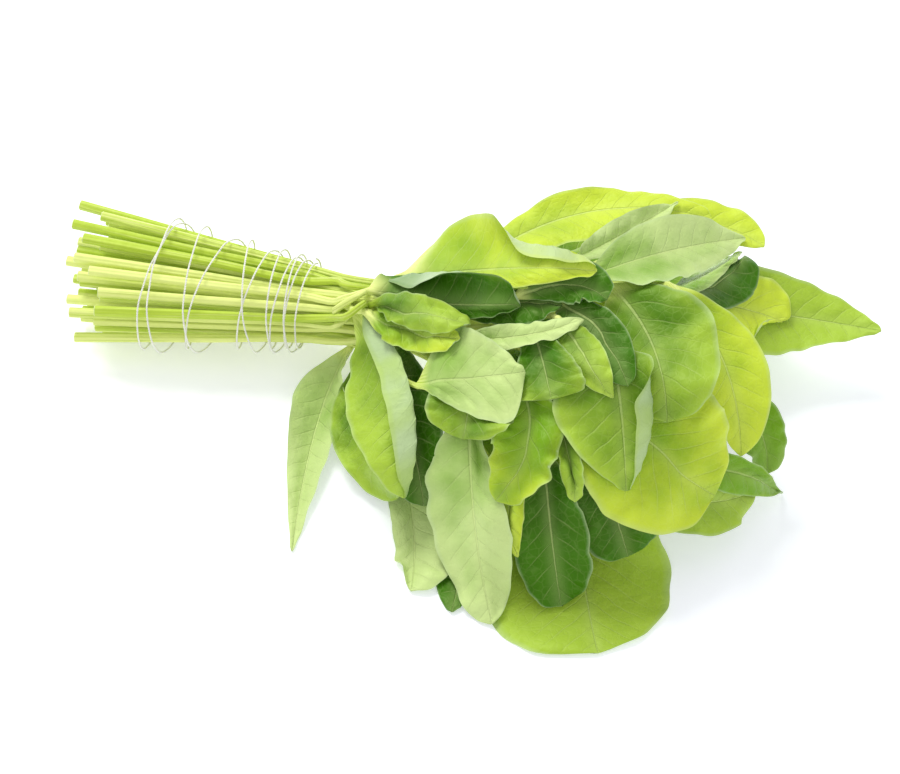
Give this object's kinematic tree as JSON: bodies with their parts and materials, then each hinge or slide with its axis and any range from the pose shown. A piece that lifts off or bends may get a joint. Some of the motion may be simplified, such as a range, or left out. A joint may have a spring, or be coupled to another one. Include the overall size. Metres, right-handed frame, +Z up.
{
  "type": "sorrel bunch",
  "caption": "Bunch of fresh sorrel lying on its side: long pale stems held by a wound cotton thread, and a full head of broad green leaves.",
  "frame": {"origin": "middle of the bunch's bounding box, on the table it lies on", "axes": "+X from the cut ends towards the leaf tips, +Z up from the table"},
  "size_m": [0.3604, 0.2484, 0.0933],
  "materials": {
    "leaf_green": "satin leaf",
    "leaf_deep": "satin leaf",
    "leaf_lime": "satin leaf",
    "leaf_pale": "satin leaf",
    "cotton_thread": "matt cotton"
  },
  "bodies": {
    "root": {"leaf_centre_bright": "leaf_pale", "leaf_centre_dark": "leaf_deep", "leaf_centre_folded": "leaf_green", "leaf_centre_green": "leaf_green", "leaf_centre_inner": "leaf_deep", "leaf_centre_square": "leaf_green", "leaf_far_back": "leaf_lime", "leaf_far_upright": "leaf_lime", "leaf_left_drooping": "leaf_pale", "leaf_left_fill": "leaf_deep", "leaf_left_folded": "leaf_green", "leaf_left_under": "leaf_green", "leaf_low_broad": "leaf_lime", "leaf_mid_round": "leaf_green", "leaf_near_broad": "leaf_green", "leaf_near_dark": "leaf_deep", "leaf_near_edge": "leaf_green", "leaf_near_inner": "leaf_deep", "leaf_near_left_pale": "leaf_pale", "leaf_near_long": "leaf_pale", "leaf_near_oval": "leaf_deep", "leaf_near_ruffled": "leaf_lime", "leaf_near_slip": "leaf_lime", "leaf_pale_strip": "leaf_pale", "leaf_right_dark": "leaf_deep", "leaf_right_flat": "leaf_green", "leaf_right_long": "leaf_lime", "leaf_right_low": "leaf_pale", "leaf_right_point": "leaf_green", "leaf_right_round": "leaf_lime", "leaf_right_small": "leaf_lime", "leaf_right_strip": "leaf_pale", "leaf_tie_lower": "leaf_lime", "leaf_tie_small": "leaf_green", "leaf_top_broad": "leaf_pale", "leaf_top_inner": "leaf_deep", "leaf_top_upper": "leaf_pale", "leaf_under_far_1": "leaf_green", "leaf_under_far_2": "leaf_green", "leaf_under_far_3": "leaf_green", "leaf_under_fold": "leaf_green", "leaf_under_mid_1": "leaf_green", "leaf_under_mid_2": "leaf_green", "leaf_under_near_1": "leaf_green", "leaf_under_near_2": "leaf_green", "leaf_upper_cupped": "leaf_green", "leaf_upper_curled": "leaf_lime", "leaf_upper_edge": "leaf_green", "tie_thread": "cotton_thread"}
  },
  "joints": []
}
